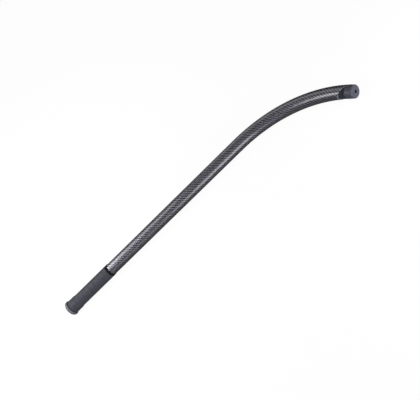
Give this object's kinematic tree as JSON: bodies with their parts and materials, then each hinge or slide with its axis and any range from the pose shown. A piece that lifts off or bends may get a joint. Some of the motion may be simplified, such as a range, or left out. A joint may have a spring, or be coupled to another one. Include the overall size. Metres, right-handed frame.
{
  "type": "bait throwing stick",
  "caption": "Long hollow tube with one gentle bend, a slanted mouth closed by a pull-out stopper, and a short rubber grip with a rounded butt, for throwing round bait.",
  "frame": {"origin": "centre of the butt cap's flat end face", "axes": "+X runs along the straight tube from the butt towards the mouth, the bend turns towards -Y, and +Z is square to the plane of the bend"},
  "size_m": [0.8705, 0.167, 0.0386],
  "materials": {
    "carbon": "satin clear lacquer over a diagonal carbon weave",
    "grip_rubber": "fine woven texture, matte",
    "former_plastic": "plain moulded, hidden",
    "collar_black": "satin black",
    "cap_rubber": "smooth moulded, slight sheen",
    "washer_rubber": "matte black",
    "bung_foam": "closed-cell foam",
    "stopper_foam": "cross-hatched, matte",
    "stopper_plastic": "smooth moulded, matte"
  },
  "bodies": {
    "stick": {"tube_straight": "carbon", "tube_bend_1": "carbon", "tube_bend_2": "carbon", "tube_bend_3": "carbon", "tube_bend_4": "carbon", "tube_bend_5": "carbon", "grip_sleeve": "grip_rubber", "butt_former": "former_plastic", "collar_ring": "collar_black", "butt_cap": "cap_rubber", "butt_washer": "washer_rubber", "bore_bung": "bung_foam"},
    "stopper": {"plug_core": "stopper_foam", "plug_head": "stopper_plastic"}
  },
  "joints": [
    {"name": "stopper_slide", "type": "slide", "parent": "stick", "child": "stopper", "axis": [0.6428, -0.766, 0], "range_m": [0, 0.065]}
  ]
}
